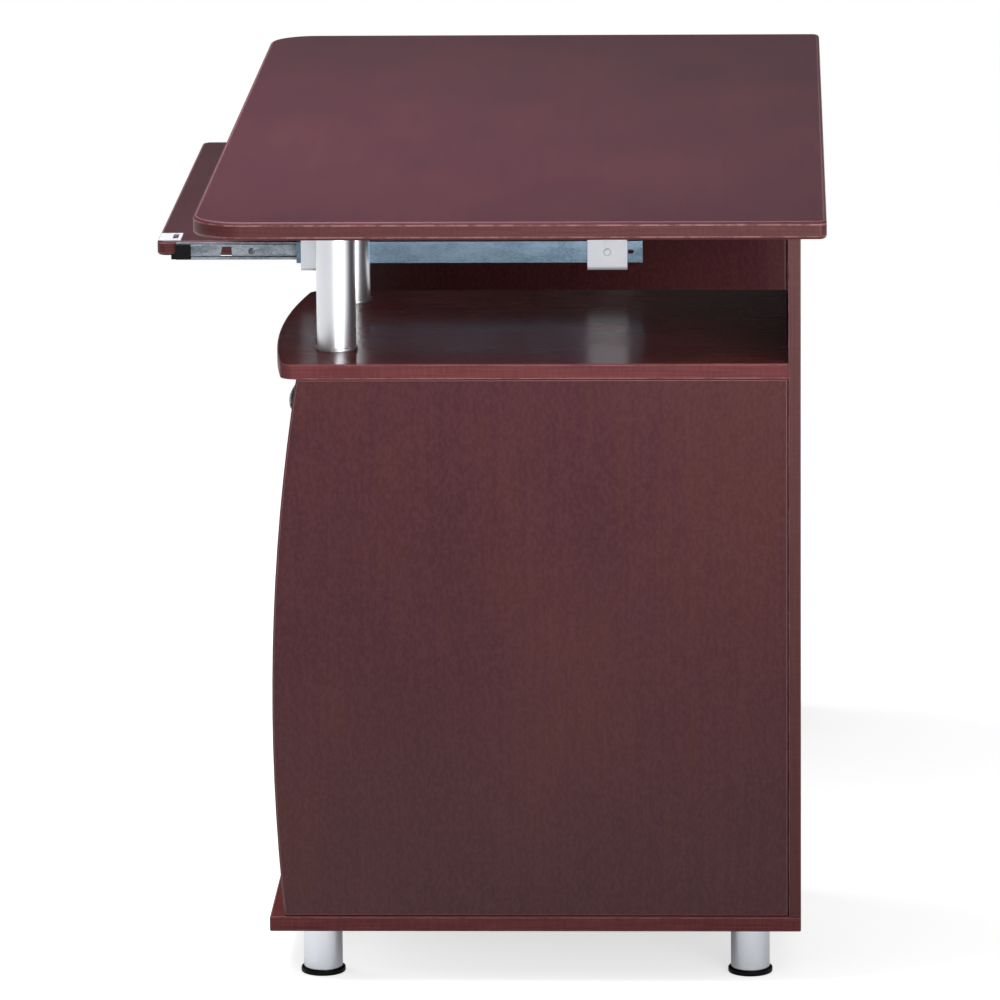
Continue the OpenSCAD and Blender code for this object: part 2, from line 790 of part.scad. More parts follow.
// Runs its children at each hole of the flanges, on the desktop's underside, in the desk's frame
module on_flanges() {
    x = tray_slide_t + bracket_t - bracket_flange / 2 - bracket_t / 2;
    slide_pair(tray_cx, tray_x1, top_z)
        for (y = bracket_ys, s = [-1, 1])
            translate([x, y + bracket_w / 2 + s * flange_screw_pitch / 2, 0]) children();
}

module tray_brackets() {
    color(silver) difference() {
        tray_slides() for (y = bracket_ys) along_y(y, y + bracket_w) bracket_profile();
        tray_slides() for (y = bracket_ys) translate([tray_slide_t - over, y + bracket_w / 2, 0])
            rod_x(screw_d + 2 * fit, bracket_t + 2 * over);
        on_flanges() translate([0, 0, -bracket_t - over]) rod_z(screw_d + 2 * fit, bracket_t + 2 * over);
    }
}

// Screw with a pan head below Z = 0 and its shaft above
module pan_screw(l) {
    head_d = 8;
    head_h = 2;
    dome_r = 1.4;
    rotate_extrude() translate([0, -head_h]) {
        square([head_d / 2 - dome_r, head_h]);
        translate([head_d / 2 - dome_r, 0]) difference() {
            square([dome_r, head_h]);
            corner_cut(dome_r);
        }
    }
    rod_z(screw_d, l);
}

module bracket_screws() {
    color(silver) {
        tray_slides() for (y = bracket_ys)
            translate([tray_slide_t + bracket_t, y + bracket_w / 2, 0])
                rotate([0, -90, 0]) pan_screw(web_screw_l);
        on_flanges() translate([0, 0, -bracket_t]) pan_screw(bracket_t + flange_screw_in);
    }
}

module keyboard_tray() {
    color(wood) difference() {
        translate([tray_x0, tray_y0, tray_z0])
            eased_board(tray_x1 - tray_x0, tray_d, tray_t, tray_corner_r, tray_corner_r, tray_edge_r);
        tray_slides() for (y = tray_screw_ys)
            translate([-tray_screw_l, y, 0]) rod_x(screw_d + 2 * fit, tray_screw_l + over);
    }
}

// Rails with the stop's trapezoid hole and the screw holes in the web
rail_end_l = 15;

module tray_rails() {
    stop_hole_y = tray_rail_y + stop_hole_in;
    color(zinc) tray_slides() difference() {
        rail(tray_rail_y, tray_rail_len, tray_slide_h, rail_end_l);
        along_x(-over, steel_t + over)
            translate([stop_hole_y, 0]) polygon([[-5.9, -5.2], [5.8, -5.2], [5, 4.9], [-4.1, 4.9]]);
        for (y = tray_screw_ys) translate([-over, y, 0]) rod_x(screw_d + 2 * fit, steel_t + 2 * over);
    }
}

// Black plastic ends of the rails, with the release tab at the bottom
module tray_rail_ends() {
    end_r = 1.5;
    low = -7.8;
    high = 7.1;
    deep = 5.8;
    tab_high = 5.2;
    tab_out = 5;
    color(black) tray_slides() translate([steel_t, tray_rail_y, 0]) {
        difference() {
            translate([0, 0, low]) cube([deep, rail_end_l, high - low]);
            translate([deep / 2, -over, low + tab_high + (high - low - tab_high) / 2])
                rotate([-90, 0, 0]) rod_z(deep / 2, 4 + over);
        }
        translate([0, -tab_out, low]) cube([deep - end_r, tab_out, tab_high]);
    }
}

module tray_rail_screws() {
    head_d = 6.4;
    head_h = 1.6;
    color(silver) tray_slides() for (y = tray_screw_ys) translate([steel_t, y, 0]) {
        rod_x(head_d, head_h);
        translate([-steel_t - tray_screw_l + loose, 0, 0]) rod_x(screw_d, steel_t + tray_screw_l - loose);
    }
}

// Flat tab on the tray's front right corner, with a slot along its rear edge
module tray_corner_tab() {
    slot_w = 5.6;
    slot_in = 4;
    strip_w = 3.4;
    edge_in = 2;
    color(silver) translate([tray_x1 - tray_edge_r - tab_l, tray_y0 + edge_in, tray_z1]) difference() {
        cube([tab_l, tab_d, tab_t]);
        translate([slot_in, tab_d - strip_w - slot_w, -over])
            cube([tab_l - 2 * slot_in, slot_w, tab_t + 2 * over]);
    }
}

module tray_ball_cages() {
    tray_balls = 5;
    end_gap = 2;
    color(zinc) tray_slides()
        ball_cage(tray_runner_y + end_gap + tray_more / 2, tray_cage_len, tray_slide_h, tray_balls);
}

// Drawers: fronts, [lower edge, upper edge]
top_front = [shelf_z - front_gap - small_front_h, shelf_z - front_gap];
middle_front = [top_front[0] - front_gap - small_front_h, top_front[0] - front_gap];
file_front = [bottom_top + front_gap, middle_front[0] - front_gap];
// Boxes, [lower edge, upper edge]
box_up = 12;
top_box = [top_front[0] + box_up, top_front[0] + box_up + small_box_h];
middle_box = [middle_front[0] + box_up, middle_front[0] + box_up + small_box_h];
file_box = [file_front[0] + box_up, file_front[0] + box_up + file_box_h];
box_x0 = right_in0 + drawer_slide_t;
box_x1 = right_in1 - drawer_slide_t;
box_y1 = front_in + box_d;
right_cx = (right_x0 + right_x1) / 2;
groove_in = box_t / 2;
groove_up = 10;
drawer_runner_y = front_in + 2;
drawer_rail_len = box_d - rail_short;

module drawer_slides(box) { slide_pair(right_cx, box_x1, (box[0] + box[1]) / 2) children(); }

module drawer_runners(box) {
    color(zinc) drawer_slides(box) runner(drawer_runner_y, box_d, drawer_slide_t, drawer_slide_h);
}

module drawer_rails(box) {
    color(zinc) drawer_slides(box) rail(drawer_runner_y, drawer_rail_len, drawer_slide_h, 0);
}

module drawer_cages(box) {
    drawer_balls = 3;
    end_gap = 2;
    color(zinc) drawer_slides(box)
        translate([0, drawer_runner_y + end_gap + drawer_travel / 2, 0])
            ball_cage(0, drawer_cage_len, drawer_slide_h, drawer_balls);
}

// Bottom panel of a box, grown by extra on every side for the grooves it sits in
module box_bottom(box, extra) {
    inset = groove_in + loose - extra;
    y0 = front_in - groove_in + loose - extra;
    translate([box_x0 + inset, y0, box[0] + groove_up - extra])
        cube([box_x1 - box_x0 - 2 * inset, box_y1 - inset - y0, box_bottom_t + 2 * extra]);
}

module drawer_front(front, box) {
    color(wood) difference() {
        translate([right_in0 + front_gap, front_y, front[0]])
            cube([right_in1 - right_in0 - 2 * front_gap, board_t, front[1] - front[0]]);
        box_bottom(box, fit);
    }
}

module drawer_sides(box) {
    color(board_grey) difference() {
        slide_pair(right_cx, box_x1 - box_t, box[0]) translate([0, front_in, 0])
            cube([box_t, box_d, box[1] - box[0]]);
        box_bottom(box, fit);
    }
}

module drawer_back(box) {
    color(board_grey) difference() {
        translate([box_x0 + box_t, box_y1 - box_t, box[0]])
            cube([box_x1 - box_x0 - 2 * box_t, box_t, box[1] - box[0]]);
        box_bottom(box, fit);
    }
}

// Bow handle: an arched bar along X that bends back into its legs, seated on Y = 0 and facing -Y
module bow_handle() {
    bend_proud = 0.2;
    into = 1;
    bar_y = -handle_out + handle_d / 2;
    reach = handle_arc_r - handle_bend;
    half = asin((handle_pitch / 2 - handle_bend) / reach);
    arc_half = half + asin(into / handle_arc_r);
    leg_y = bar_y + handle_arc_r - reach * cos(half);
    color(silver) {
        translate([0, bar_y + handle_arc_r, 0]) rotate([0, 0, -90 - arc_half])
            rotate_extrude(angle = 2 * arc_half, $fn = 720)
                translate([handle_arc_r, 0]) circle(d = handle_d, $fn = 48);
        for (side = [0, 1]) mirror([side, 0, 0]) {
            translate([handle_pitch / 2 - handle_bend, leg_y, 0]) rotate([0, 0, half - 90])
                rotate_extrude(angle = 90 - half)
                    translate([handle_bend, 0]) circle(d = handle_d + bend_proud);
            translate([handle_pitch / 2, leg_y - into, 0]) rod_y(handle_d, into - leg_y);
        }
    }
}

module drawer_handle(front) {
    handle_z = front[1] - small_front_h / 2;
    translate([right_cx, front_y, handle_z]) bow_handle();
}

// Bars for hanging files, on edge in slots of the file drawer's sides
file_bar_t = 3;
file_mid_y = front_in + (box_d - box_t) / 2;

module file_bars(extra) {
    for (s = [-1, 1])
        translate([box_x0 + 1 - 40 * extra, file_mid_y + s * file_pitch / 2, file_box[1] - file_bar_h])
            translate([0, -file_bar_t / 2 - extra, -extra])
                cube([box_x1 - box_x0 - 2 + 80 * extra, file_bar_t + 2 * extra, file_bar_h + 40 * extra]);
}

module top_drawer_runners() { drawer_runners(top_box); }
module top_drawer_front() { drawer_front(top_front, top_box); }
module top_drawer_sides() { drawer_sides(top_box); }
module top_drawer_back() { drawer_back(top_box); }
module top_drawer_bottom() { color(board_grey) box_bottom(top_box, 0); }
module top_drawer_handle() { drawer_handle(top_front); }
module top_drawer_rails() { drawer_rails(top_box); }
module top_drawer_ball_cages() { drawer_cages(top_box); }

module middle_drawer_runners() { drawer_runners(middle_box); }
module middle_drawer_front() { drawer_front(middle_front, middle_box); }
module middle_drawer_sides() { drawer_sides(middle_box); }
module middle_drawer_back() { drawer_back(middle_box); }
module middle_drawer_bottom() { color(board_grey) box_bottom(middle_box, 0); }
module middle_drawer_handle() { drawer_handle(middle_front); }
module middle_drawer_rails() { drawer_rails(middle_box); }
module middle_drawer_ball_cages() { drawer_cages(middle_box); }

module file_drawer_runners() { drawer_runners(file_box); }
module file_drawer_front() { drawer_front(file_front, file_box); }
module file_drawer_sides() {
    color(board_grey) difference() {
        drawer_sides(file_box);
        file_bars(fit);
    }
}
module file_drawer_back() { drawer_back(file_box); }
module file_drawer_bottom() { color(board_grey) box_bottom(file_box, 0); }
module file_drawer_handle() { drawer_handle(file_front); }
module file_drawer_rails() { drawer_rails(file_box); }
module file_drawer_ball_cages() { drawer_cages(file_box); }
module hanging_file_bars() { color(zinc) file_bars(0); }

// Door of the left pedestal, hinged at its outer edge on pivots in shelf and bottom
door_x0 = left_in0 + door_gap;
door_x1 = left_in1 - door_gap;
door_z0 = bottom_top + front_gap;
door_z1 = shelf_z - front_gap;
pivot_x = door_x0 + pivot_in;
pivot_y = front_y + pivot_back;
pin_in_door = 10;
pin_in_bush = 6;
bush_d = 8;
bush_l = 8;

module cabinet_door() {
    color(wood) difference() {
        translate([door_x0, front_y, door_z0]) cube([door_x1 - door_x0, board_t, door_z1 - door_z0]);
        translate([pivot_x, pivot_y, door_z0 - over]) rod_z(pivot_d + 2 * fit, pin_in_door + over + loose);
        translate([pivot_x, pivot_y, door_z1 + over]) flipped(true)
            rod_z(pivot_d + 2 * fit, pin_in_door + over + loose);
    }
}

module door_pivot_pins() {
    pin_l = pin_in_door + front_gap + pin_in_bush;
    color(zinc) translate([pivot_x, pivot_y, 0]) {
        translate([0, 0, bottom_top - pin_in_bush]) rod_z(pivot_d, pin_l);
        translate([0, 0, shelf_z + pin_in_bush]) flipped(true) rod_z(pivot_d, pin_l);
    }
}

module pivot_bush() {
    flange_d = 12;
    flange_t = 1;
    difference() {
        union() {
            translate([0, 0, -flange_t]) rod_z(flange_d, flange_t);
            rod_z(bush_d, bush_l);
        }
        translate([0, 0, -flange_t - over]) rod_z(pivot_d + 2 * fit, bush_l + flange_t + 2 * over);
    }
}

module door_pivot_bushes() {
    color(black) translate([pivot_x, pivot_y, 0]) {
        translate([0, 0, shelf_z]) pivot_bush();
        translate([0, 0, bottom_top]) flipped(true) pivot_bush();
    }
}

module door_handle() {
    translate([door_x1 - door_handle_in, front_y, door_z1 - door_handle_low]) rotate([0, 90, 0]) bow_handle();
}

// Magnetic catch under the left shelf and its strike on the door
catch_w = 30;
catch_x = door_x1 - catch_in - catch_w;
strike_t = 1;

module magnetic_catch() {
    catch_d = 14;
    catch_h = 12;
    color(black) translate([catch_x, front_in + strike_t + loose, shelf_z - catch_h])
        cube([catch_w, catch_d, catch_h]);
}

module door_strike() {
    strike_h = 14;
    color(zinc) translate([catch_x, front_in, door_z1 - strike_h]) cube([catch_w, strike_t, strike_h]);
}

desktop();
right_outer_side();
right_inner_side();
right_shelf();
right_bottom();
right_back();
left_outer_side();
left_inner_side();
left_shelf();
left_bottom();
left_back();
rear_rail();
front_posts();
post_collars();
post_rods();
foot_tubes();
foot_pads();
tray_brackets();
bracket_screws();
tray_runners();
top_drawer_runners();
middle_drawer_runners();
file_drawer_runners();
cam_fasteners();
dowels();
back_screws();
door_pivot_bushes();
magnetic_catch();
keyboard_tray();
tray_rails();
tray_rail_ends();
tray_rail_screws();
tray_corner_tab();
tray_ball_cages();
top_drawer_front();
top_drawer_sides();
top_drawer_back();
top_drawer_bottom();
top_drawer_handle();
top_drawer_rails();
top_drawer_ball_cages();
middle_drawer_front();
middle_drawer_sides();
middle_drawer_back();
middle_drawer_bottom();
middle_drawer_handle();
middle_drawer_rails();
middle_drawer_ball_cages();
file_drawer_front();
file_drawer_sides();
file_drawer_back();
file_drawer_bottom();
file_drawer_handle();
file_drawer_rails();
file_drawer_ball_cages();
hanging_file_bars();
cabinet_door();
door_handle();
door_pivot_pins();
door_strike();
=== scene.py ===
"""Looks of the computer desk: materials, eased edges, studio and camera."""

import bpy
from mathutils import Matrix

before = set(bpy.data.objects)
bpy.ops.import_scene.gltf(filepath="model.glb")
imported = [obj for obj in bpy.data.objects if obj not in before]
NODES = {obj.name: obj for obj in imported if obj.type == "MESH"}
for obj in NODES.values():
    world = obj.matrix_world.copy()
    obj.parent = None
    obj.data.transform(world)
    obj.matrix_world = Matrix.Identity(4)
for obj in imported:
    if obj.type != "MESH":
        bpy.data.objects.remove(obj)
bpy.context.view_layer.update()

import math

import bpy
from mathutils import Matrix, Vector

AXES = {"X": 0, "Y": 1, "Z": 2}

# Places of the two inputs and the result in Blender's Mix node, for each kind of value
MIX_SOCKETS = {"FLOAT": (2, 3, 0), "RGBA": (6, 7, 2)}


def linear(red, green, blue):
    """An sRGB colour, written as 0 to 255, in Blender's linear values."""
    def one(level):
        level /= 255
        return level / 12.92 if level <= 0.04045 else ((level + 0.055) / 1.055) ** 2.4
    return (one(red), one(green), one(blue), 1.0)


def stretched(axis, along, across):
    """Scale of a pattern, in repeats per metre: one number along an axis, another across it."""
    scale = [across, across, across]
    scale[AXES[axis]] = along
    return tuple(scale)


class Graph:
    """A node tree, with short calls that add nodes to it."""

    def __init__(self, tree):
        self.tree = tree

    def put(self, socket, value):
        """Links another node's output to a socket, or sets the socket's own value."""
        if isinstance(value, bpy.types.NodeSocket):
            self.tree.links.new(value, socket)
        else:
            socket.default_value = value

    def node(self, kind, output=0, props=(), **inputs):
        """Adds a node and returns one output. An input goes by its name, or by its place as i0, i1, i2."""
        made = self.tree.nodes.new("ShaderNode" + kind)
        for name, value in dict(props).items():
            setattr(made, name, value)
        for name, value in inputs.items():
            key = int(name[1:]) if name[0] == "i" and name[1:].isdigit() else name.replace("_", " ")
            self.put(made.inputs[key], value)
        return made.outputs[output]

    def math(self, operation, a, b=0.0):
        return self.node("Math", props={"operation": operation}, i0=a, i1=b)

    def blend(self, a, b, share):
        """Weighted sum of two values, with b's weight given."""
        return self.math("ADD", self.math("MULTIPLY", a, 1 - share), self.math("MULTIPLY", b, share))

    def span(self, value, low, high, to_low=0.0, to_high=1.0, way="SMOOTHSTEP"):
        """Turns a value from low to high into one from to_low to to_high, and holds it at the ends."""
        return self.node("MapRange", props={"interpolation_type": way}, Value=value, From_Min=low,
                         From_Max=high, To_Min=to_low, To_Max=to_high)

    def band(self, value, rise, fall):
        """1 between two limits and 0 outside them, with soft ends."""
        return self.math("MULTIPLY", self.span(value, *rise), self.span(value, *fall))

    def mix(self, share, a, b, kind="RGBA"):
        """a where the share is 0, b where it is 1."""
        first, second, result = MIX_SOCKETS[kind]
        made = self.tree.nodes.new("ShaderNodeMix")
        made.data_type = kind
        self.put(made.inputs[0], share)
        self.put(made.inputs[first], a)
        self.put(made.inputs[second], b)
        return made.outputs[result]

    def along(self, vector, axis):
        """A vector's part along one axis."""
        return self.node("SeparateXYZ", output=AXES[axis], i0=vector)

    def seen_directly(self):
        """1 for what the camera, a mirror or a glass sees, 0 for the light that falls on matt surfaces."""
        path = self.tree.nodes.new("ShaderNodeLightPath").outputs
        seen = self.math("MAXIMUM", path["Is Camera Ray"], path["Is Glossy Ray"])
        return self.math("MAXIMUM", seen, path["Is Transmission Ray"])


class Surface(Graph):
    """A node material with one Principled shader."""

    def __init__(self, name):
        self.material = bpy.data.materials.new(name)
        self.material.use_nodes = True
        super().__init__(self.material.node_tree)
        self.shader = self.tree.nodes["Principled BSDF"]
        coords = self.tree.nodes.new("ShaderNodeTexCoord")
        self.place = coords.outputs["Object"]
        self.normal = coords.outputs["Normal"]

    def scaled(self, scale):
        return self.node("VectorMath", props={"operation": "MULTIPLY"}, i0=self.place, i1=scale)

    def noise(self, scale, detail, rough):
        return self.node("TexNoise", Vector=self.scaled(scale), Scale=1.0, Detail=detail, Roughness=rough)

    def towards(self, axis):
        """How much the surface faces along an axis, from -1 to 1."""
        return self.along(self.normal, axis)

    def bump(self, height, strength, distance):
        out = self.node("Bump", Height=height, Strength=strength, Distance=distance)
        self.put(self.shader.inputs["Normal"], out)

    def set(self, **values):
        for name, value in values.items():
            self.put(self.shader.inputs[name.replace("_", " ")], value)

    def metal(self, tone, reach, low, high, metallic, rough):
        """Colour between low and high, and roughness between two values, that both follow one tone."""
        colour = self.mix(self.span(tone, *reach), low, high)
        self.set(Base_Color=colour, Metallic=metallic, Roughness=self.span(tone, 0.3, 0.7, *rough))


SIDE_FACE = linear(76, 34, 43), linear(86, 42, 41)
# A lighter, bluer copy of the sides' laminate for the desktop's top: painted light from above and painted
# sheen
LIT_TOP_FACE = linear(82, 36, 57), linear(92, 41, 56)
# A darker copy of the laminate for the keyboard tray: painted shade of the desktop above it
SHADED_TRAY_FACE = linear(64, 29, 42), linear(74, 34, 43)
# A much lighter copy of the laminate for the shelves and bottoms, which lie in shade: painted light
LIT_PLATE_FACE = linear(114, 45, 46), linear(126, 53, 49)
PORE = linear(60, 26, 30)
PALE_PATCH = linear(104, 62, 64)
PALE_FLECK = linear(112, 66, 70)
EDGE = linear(80, 35, 38), linear(98, 49, 49)
# A lighter edge band for the shelves and bottoms: painted light
LIT_PLATE_EDGE = linear(103, 52, 55), linear(125, 68, 69)
DARK_EDGE = linear(82, 41, 42), linear(97, 52, 52)
# Colour of the light lines along the rounded arris of each board: painted highlight
PAINTED_HIGHLIGHT = linear(178, 132, 134)

# Patterns of the laminate: repeats per metre along and across the grain, then the noise's detail and
# roughness. Those of the edge band run along and across the board's thickness.
FACE_PATTERNS = {
    "fine": (22, 900, 3.0, 0.6),
    "streaks": (5, 150, 3.0, 0.55),
    "cloud": (5, 9, 3.0, 0.55),
    "patches": (2.4, 4.2, 2.0, 0.5),
    "mottle": (190, 310, 2.0, 0.6),
}
EDGE_PATTERNS = {
    "lines": (700, 16, 3.0, 0.55),
    "ticks": (60, 420, 2.0, 0.6),
}
# Scale of the noise that breaks the painted highlight on the edge side of the arris into pieces
HIGHLIGHT_BREAK_SCALE = (70, 70, 70)

# How squarely a surface faces along the board's thickness: 1 on the faces, 0 on the edge band, and between
# the two on the rounded arris. The light lines at both sides of the arris are a painted highlight.
FACE_BEGINS = 0.62, 0.8
HIGHLIGHT_BY_FACE = (0.80, 0.93), (0.9999, 0.995)
HIGHLIGHT_BY_EDGE = (0.5, 0.3), (0.015, 0.06)
ARRIS_BEGINS = 0.999, 0.93
ARRIS_ROUGHNESS = 0.45

# How far a surface faces down where the matt underside begins and where it is full
UNDERSIDE_BEGINS = -0.5, -0.9
UNDERSIDE_ROUGHNESS = 0.95


def laminate(name, grain, thick, face_tones, edge_tones=EDGE, rough=(0.17, 0.22), highlights=0.3, shine=0.22,
             fleck=0.22):
    """Dark cherry laminate: faint grain on the faces, a redder band on the edges, and light lines between
    them that are a painted highlight of the rounded arris.

    The underside of a board is matt."""
    s = Surface(name)
    on_face = {
        key: s.noise(stretched(grain, along, across), detail, uneven)
        for key, (along, across, detail, uneven) in FACE_PATTERNS.items()
    }
    face = s.mix(s.span(s.blend(on_face["cloud"], on_face["streaks"], 0.45), 0.35, 0.65), *face_tones)
    face = s.mix(s.span(on_face["fine"], 0.52, 0.72, 0.0, 0.35), face, PORE)
    face = s.mix(s.span(on_face["patches"], 0.35, 0.7, 0.0, 0.12), face, PALE_PATCH)
    face = s.mix(s.span(on_face["mottle"], 0.4, 0.62, 0.0, fleck), face, PALE_FLECK)

    on_edge = {
        key: s.noise(stretched(thick, along, across), detail, uneven)
        for key, (along, across, detail, uneven) in EDGE_PATTERNS.items()
    }
    edge = s.mix(s.span(s.blend(on_edge["lines"], on_edge["ticks"], 0.35), 0.32, 0.68), *edge_tones)

    facing = s.math("ABSOLUTE", s.towards(thick))
    colour = s.mix(s.span(facing, *FACE_BEGINS), edge, face)
    # Painted highlight: light lines at both sides of the arris, broken up by noise on the edge side
    by_face = s.math("MULTIPLY", s.band(facing, *HIGHLIGHT_BY_FACE), highlights)
    highlight_breaks = s.span(s.noise(HIGHLIGHT_BREAK_SCALE, 3.0, 0.6), 0.36, 0.6, 0.15, 0.6)
    by_edge = s.math("MULTIPLY", s.band(facing, *HIGHLIGHT_BY_EDGE), highlight_breaks)
    colour = s.mix(s.math("ADD", by_face, by_edge), colour, PAINTED_HIGHLIGHT)

    roughness = s.span(on_face["cloud"], 0.3, 0.7, *rough)
    underside = s.span(s.towards("Z"), *UNDERSIDE_BEGINS, 0.0, UNDERSIDE_ROUGHNESS)
    roughness = s.math("MAXIMUM", roughness, underside)
    arris = s.span(facing, *ARRIS_BEGINS, 0.0, ARRIS_ROUGHNESS)
    roughness = s.math("MAXIMUM", roughness, arris)
    s.set(Base_Color=colour, Roughness=roughness, Specular_IOR_Level=shine)
    s.bump(on_face["fine"], 0.02, 0.0002)
    return s.material


def plain_board(name, low, high, scale):
    """Melamine or plain wood: a fine pattern of one scale on a light tone."""
    s = Surface(name)
    pattern = s.noise(scale, 3.0, 0.55)
    s.set(Base_Color=s.mix(s.span(pattern, 0.3, 0.7), low, high), Roughness=0.5, Specular_IOR_Level=0.3)
    s.bump(pattern, 0.1, 0.0003)
    return s.material


def silver_coat(name, low, high, metallic, rough):
    """Silver powder coat: fine sparkle, a slow cloud and a soft sheen."""
    s = Surface(name)
    spark = s.noise((2600, 2600, 2600), 2.0, 0.6)
    cloud = s.noise((14, 14, 5), 3.0, 0.5)
    s.metal(s.blend(cloud, spark, 0.4), (0.35, 0.65), low, high, metallic, rough)
    s.bump(spark, 0.03, 0.0001)
    return s.material


def satin_metal(name, low, high, grain, rough=(0.2, 0.32)):
    """Metal with fine lines along one axis."""
    s = Surface(name)
    lines = s.noise(stretched(grain, 8, 1400), 2.0, 0.5)
    cloud = s.noise((25, 25, 25), 3.0, 0.5)
    s.metal(s.blend(cloud, lines, 0.6), (0.35, 0.65), low, high, 1.0, rough)
    s.bump(lines, 0.04, 0.0002)
    return s.material


def zinc(name, low, high, rough=(0.42, 0.28)):
    """Zinc-plated sheet: small crystals in a soft cloud, drawn out along Y as rolled strip is."""
    s = Surface(name)
    crystals = s.node("TexVoronoi", output="Color", Vector=s.scaled((900, 420, 900)), Scale=1.0)
    crystal = s.node("SeparateColor", Color=crystals)
    cloud = s.noise((120, 34, 90), 4.0, 0.6)
    s.metal(s.blend(cloud, crystal, 0.18), (0.3, 0.7), low, high, 0.9, rough)
    s.bump(cloud, 0.03, 0.0003)
    return s.material


def moulded(name, low, high, rough):
    """Black moulded plastic with a fine spark-eroded grain and a little dust."""
    s = Surface(name)
    grain = s.noise((2500, 2500, 2500), 2.0, 0.5)
    dust = s.noise((120, 120, 120), 3.0, 0.6)
    s.set(Base_Color=s.mix(s.span(dust, 0.4, 0.75), low, high), Roughness=s.span(dust, 0.3, 0.7, *rough),
          Specular_IOR_Level=0.12)
    s.bump(grain, 0.15, 0.0002)
    return s.material


def lighter(colour, times):
    """A linear colour with its brightness multiplied."""
    return tuple(min(1.0, part * times) for part in colour[:3]) + (1.0,)


def dress(material, *names):
    """Gives pieces their only material."""
    for name in names:
        mesh = NODES[name].data
        mesh.materials.clear()
        mesh.materials.append(material)


WELD_REACH = 1e-6
FLAT_WITHIN = math.radians(0.2)
SHARP_BEYOND = math.radians(32)


def ease(names, width, segments=2, board=True):
    """Rounds the sharp edges a little, as real edges are, and smooths the curved faces.

    A board's flat faces are first joined from their triangles, so that the rounding keeps its full width.
    On tubes and thin sheet the rounding is held back where it would run into another edge."""
    for name in names:
        piece = NODES[name]
        mesh = piece.data
        if "custom_normal" in mesh.attributes:
            mesh.attributes.remove(mesh.attributes["custom_normal"])
        mesh.polygons.foreach_set("use_smooth", [True] * len(mesh.polygons))
        weld = piece.modifiers.new("weld", "WELD")
        weld.merge_threshold = WELD_REACH
        if board:
            whole = piece.modifiers.new("whole", "DECIMATE")
            whole.decimate_type = "DISSOLVE"
            whole.angle_limit = FLAT_WITHIN
        if width:
            bevel = piece.modifiers.new("ease", "BEVEL")
            bevel.width = width
            bevel.segments = segments
            bevel.limit_method = "ANGLE"
            bevel.angle_limit = SHARP_BEYOND
            bevel.use_clamp_overlap = not board
        even = piece.modifiers.new("even", "WEIGHTED_NORMAL")
        even.weight = 100
        even.keep_sharp = False


DRAWERS = ("top", "middle", "file")
SIDES = ["right_outer_side", "right_inner_side", "left_outer_side", "left_inner_side"]
PLATES = ["right_shelf", "left_shelf", "right_bottom", "left_bottom"]
BACKS = ["right_back", "left_back"]
FRONTS = [f"{drawer}_drawer_front" for drawer in DRAWERS]
HANDLES = [f"{drawer}_drawer_handle" for drawer in DRAWERS]
RUNNERS = [f"{drawer}_drawer_runners" for drawer in DRAWERS]
RAILS = [f"{drawer}_drawer_rails" for drawer in DRAWERS]
CAGES = [f"{drawer}_drawer_ball_cages" for drawer in DRAWERS]
BOXES = [f"{drawer}_drawer_{part}" for drawer in DRAWERS for part in ("sides", "back", "bottom")]

dress(laminate("laminate_sides", "Z", "X", SIDE_FACE, highlights=0.35), *SIDES)
# The shelves and bottoms get the lighter copy of the laminate and of its edge band: painted light
dress(laminate("laminate_plates_painted_light", "Y", "Z", LIT_PLATE_FACE, LIT_PLATE_EDGE, rough=(0.2, 0.26), highlights=0.6,
               shine=0.075), *PLATES)
# The desktop's top gets the lighter, bluer copy of the laminate: painted light and sheen
dress(laminate("laminate_top_painted_light", "X", "Z", LIT_TOP_FACE, fleck=0.3), "desktop")
# The keyboard tray gets the darker copy of the laminate: painted shade
dress(laminate("laminate_tray_painted_shade", "X", "Z", SHADED_TRAY_FACE), "keyboard_tray")
dress(laminate("laminate_backs", "Z", "Y", SIDE_FACE, DARK_EDGE), *BACKS)
dress(laminate("laminate_fronts", "X", "Y", SIDE_FACE), *FRONTS, "rear_rail")
dress(laminate("laminate_door", "Z", "Y", SIDE_FACE), "cabinet_door")

MELAMINE = linear(176, 174, 170), linear(196, 194, 190)
BIRCH = linear(190, 150, 102), linear(212, 178, 130)
dress(plain_board("drawer_board", *MELAMINE, scale=stretched("Y", 12, 300)), *BOXES)
dress(plain_board("birch", *BIRCH, scale=(300, 300, 300)), "dowels")

# The two roughness values of a metal belong to its darkest and its lightest tone
POST_SILVER = linear(216, 219, 224), linear(234, 236, 240)
# A darker copy of the posts' silver for the feet: painted shade of the desk above and around them
SHADED_FOOT_SILVER = linear(178, 182, 189), linear(202, 206, 211)
BRACKET_WHITE = linear(232, 238, 248), linear(244, 247, 252)
COLLAR_STEEL = linear(176, 178, 182), linear(216, 217, 220)
DARK_NICKEL = linear(34, 34, 35), linear(62, 62, 63)
dress(silver_coat("silver_posts", *POST_SILVER, metallic=0.95, rough=(0.37, 0.3)), "front_posts")
# The feet get the darker copy of the silver: painted shade
dress(silver_coat("silver_feet_painted_shade", *SHADED_FOOT_SILVER, metallic=0.95, rough=(0.28, 0.2)), "foot_tubes")
dress(satin_metal("collar_metal", *COLLAR_STEEL, grain="Z", rough=(0.34, 0.46)), "post_collars")
dress(satin_metal("satin_nickel", *DARK_NICKEL, grain="X"), *HANDLES)
dress(satin_metal("satin_nickel_upright", *DARK_NICKEL, grain="Z"), "door_handle")
dress(silver_coat("bracket_coat", *BRACKET_WHITE, metallic=0.15, rough=(0.42, 0.34)),
      "tray_brackets", "tray_corner_tab", "bracket_screws")

